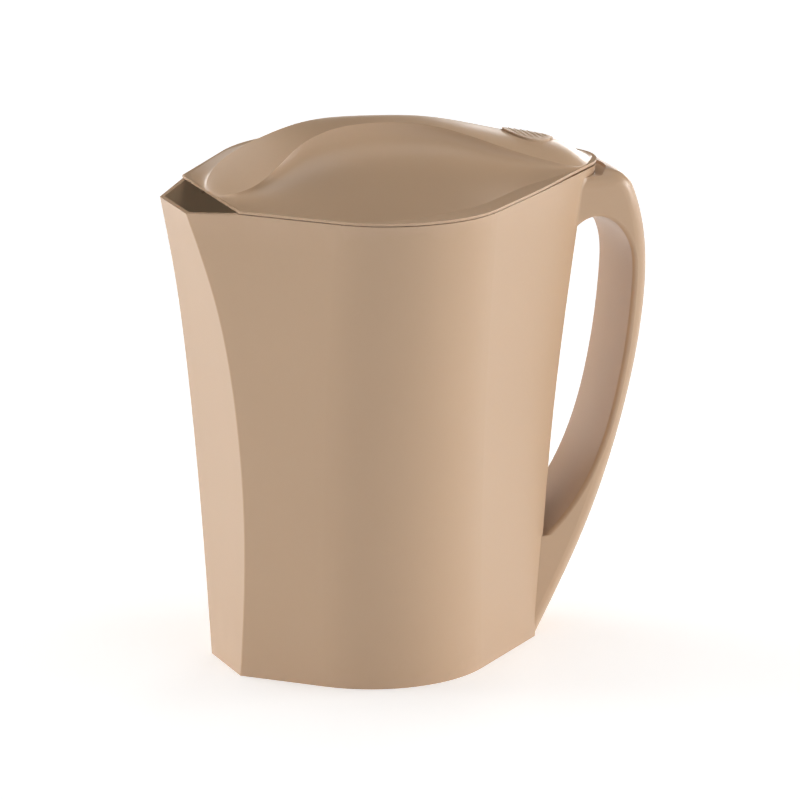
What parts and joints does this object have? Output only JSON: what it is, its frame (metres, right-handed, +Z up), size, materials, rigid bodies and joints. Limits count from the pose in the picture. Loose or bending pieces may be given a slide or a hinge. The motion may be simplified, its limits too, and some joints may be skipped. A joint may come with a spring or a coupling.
{
  "type": "plastic pitcher",
  "caption": "Lens-shaped plastic pitcher with a flat-faced pouring lip, a closed loop handle moulded onto the jug and a lift-off ridged lid with a thumb pad.",
  "frame": {"origin": "centre of the base, in the plane the jug stands on, midway between the front facet and the rear wall at the foot", "axes": "+Z up through the lid; the pouring lip faces -X and the handle +X; the part is symmetric about the XZ plane"},
  "size_m": [0.1884, 0.1394, 0.2081],
  "materials": {
    "jug": "smooth satin, warm beige",
    "lid": "smooth satin, warm beige",
    "pad": "fine ribbed grip, warm beige"
  },
  "bodies": {
    "jug": {"jug_body": "jug"},
    "lid": {"lid": "lid", "thumb_pad": "pad"}
  },
  "joints": [
    {"name": "lid_lift", "type": "slide", "parent": "jug", "child": "lid", "axis": [0, 0, 1], "range_m": [0, 0.06]}
  ]
}
